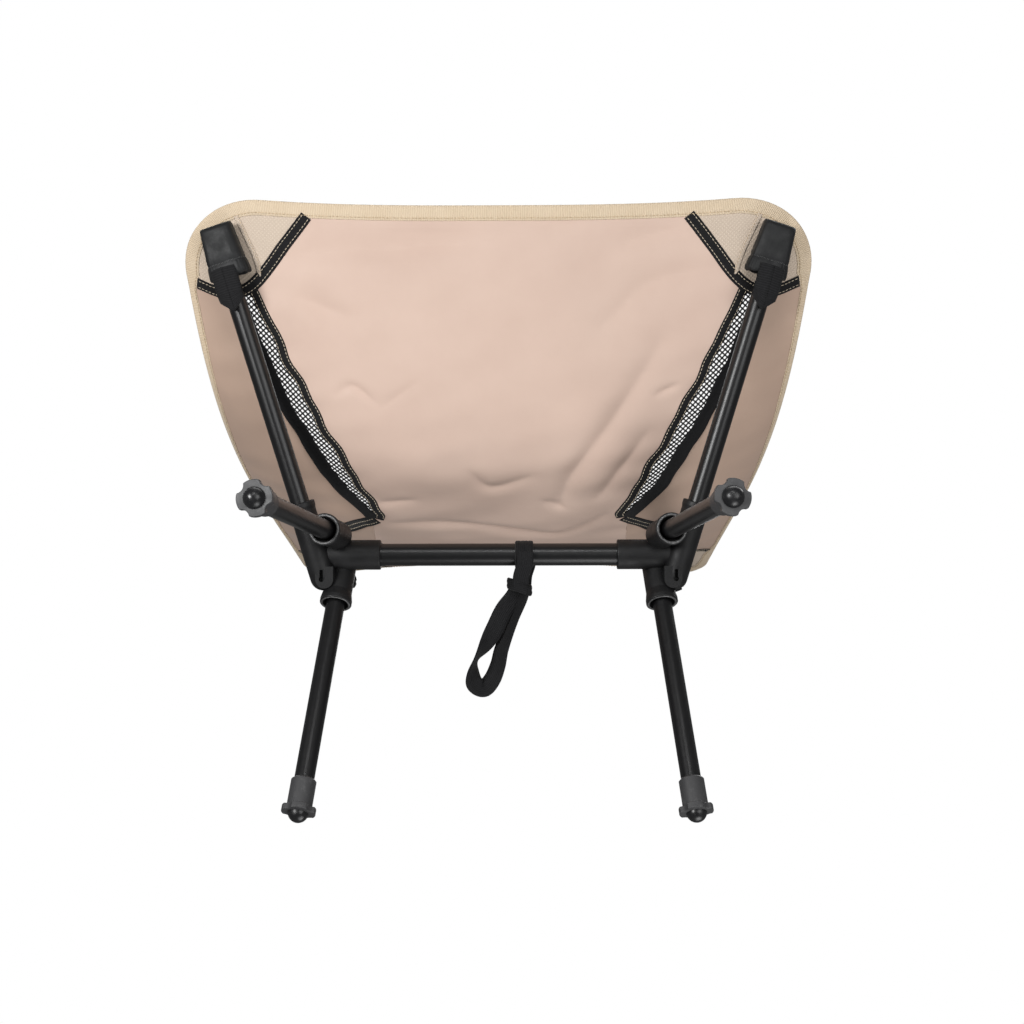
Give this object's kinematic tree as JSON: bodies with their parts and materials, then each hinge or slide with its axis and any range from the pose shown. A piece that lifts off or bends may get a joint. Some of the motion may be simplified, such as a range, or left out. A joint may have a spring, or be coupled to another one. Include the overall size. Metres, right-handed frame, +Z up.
{
  "type": "ultralight backpacking chair",
  "caption": "Low folding camp chair: moulded hubs on a crossbar carry plug-in legs and poles, and a sewn sling with mesh strips hangs from the pole tips.",
  "frame": {"origin": "on the ground, under the middle of the chair's box", "axes": "+Z up, the sitter faces -Y, +X is the sitter's left"},
  "size_m": [0.5338, 0.5279, 0.5978],
  "materials": {
    "black_tube": "black anodised, satin",
    "bare_tube": "plain aluminium",
    "moulded_nylon": "black glass-filled nylon, fine texture",
    "foot_plastic": "dark grey moulded plastic",
    "pad_rubber": "black rubber, smooth",
    "elastic_cord": "black braided elastic cord",
    "sling_fabric": "beige ripstop polyester, coated",
    "side_fabric": "beige polyester",
    "corner_fabric": "light beige ribbed polyester",
    "mesh": "black open mesh",
    "binding_tape": "golden beige ribbed tape",
    "pocket_fabric": "black coated nylon",
    "seam_tape": "black tape with beige stitching",
    "webbing": "black woven webbing"
  },
  "bodies": {
    "frame": {"back_pocket_left": "pocket_fabric", "back_pocket_right": "pocket_fabric", "back_pole_ferrule_left": "bare_tube", "back_pole_ferrule_right": "bare_tube", "back_pole_lower_left": "black_tube", "back_pole_lower_right": "black_tube", "back_pole_tip_left": "moulded_nylon", "back_pole_tip_right": "moulded_nylon", "back_pole_upper_left": "black_tube", "back_pole_upper_right": "black_tube", "back_pulls": "webbing", "back_tapes": "seam_tape", "crossbar": "black_tube", "hub_cord_left": "elastic_cord", "hub_cord_right": "elastic_cord", "hub_left": "moulded_nylon", "hub_right": "moulded_nylon", "pole_cords_left": "elastic_cord", "pole_cords_right": "elastic_cord", "seat_pocket_left": "pocket_fabric", "seat_pocket_right": "pocket_fabric", "seat_pole_left": "black_tube", "seat_pole_right": "black_tube", "seat_pole_tip_left": "moulded_nylon", "seat_pole_tip_right": "moulded_nylon", "seat_pulls": "webbing", "seat_tapes": "seam_tape", "sling_back_corner_left": "corner_fabric", "sling_back_corner_right": "corner_fabric", "sling_back_mesh_left": "mesh", "sling_back_mesh_right": "mesh", "sling_back_side_left": "side_fabric", "sling_back_side_right": "side_fabric", "sling_binding": "binding_tape", "sling_centre": "sling_fabric", "sling_seat_corner_left": "corner_fabric", "sling_seat_corner_right": "corner_fabric", "sling_seat_mesh_left": "mesh", "sling_seat_mesh_right": "mesh", "sling_seat_side_left": "side_fabric", "sling_seat_side_right": "side_fabric"},
    "hang_strap": {"hang_strap": "webbing"},
    "front_left_leg": {"front_leg_left": "black_tube", "front_foot_left": "foot_plastic", "front_foot_pad_left": "pad_rubber", "front_leg_cord_left": "elastic_cord"},
    "front_right_leg": {"front_leg_right": "black_tube", "front_foot_right": "foot_plastic", "front_foot_pad_right": "pad_rubber", "front_leg_cord_right": "elastic_cord"},
    "rear_left_leg": {"rear_leg_left": "black_tube", "rear_foot_left": "foot_plastic", "rear_foot_pad_left": "pad_rubber", "rear_leg_cord_left": "elastic_cord"},
    "rear_right_leg": {"rear_leg_right": "black_tube", "rear_foot_right": "foot_plastic", "rear_foot_pad_right": "pad_rubber", "rear_leg_cord_right": "elastic_cord"}
  },
  "joints": [
    {"name": "front_left_leg_pull", "type": "slide", "parent": "frame", "child": "front_left_leg", "axis": [0.1407, -0.5541, -0.8205], "range_m": [0, 0.04], "stiffness_N_per_m": 150, "springref_m": -0.06},
    {"name": "front_right_leg_pull", "type": "slide", "parent": "frame", "child": "front_right_leg", "axis": [-0.1407, -0.5541, -0.8205], "range_m": [0, 0.04], "stiffness_N_per_m": 150, "springref_m": -0.06},
    {"name": "rear_left_leg_pull", "type": "slide", "parent": "frame", "child": "rear_left_leg", "axis": [0.0951, 0.5153, -0.8517], "range_m": [0, 0.04], "stiffness_N_per_m": 150, "springref_m": -0.06},
    {"name": "rear_right_leg_pull", "type": "slide", "parent": "frame", "child": "rear_right_leg", "axis": [-0.0951, 0.5153, -0.8517], "range_m": [0, 0.04], "stiffness_N_per_m": 150, "springref_m": -0.06},
    {"name": "strap_swing", "type": "hinge", "parent": "frame", "child": "hang_strap", "pos_m": [0, 0.017, 0.1958], "axis": [1, 0, 0], "range_deg": [-150, 60]}
  ]
}
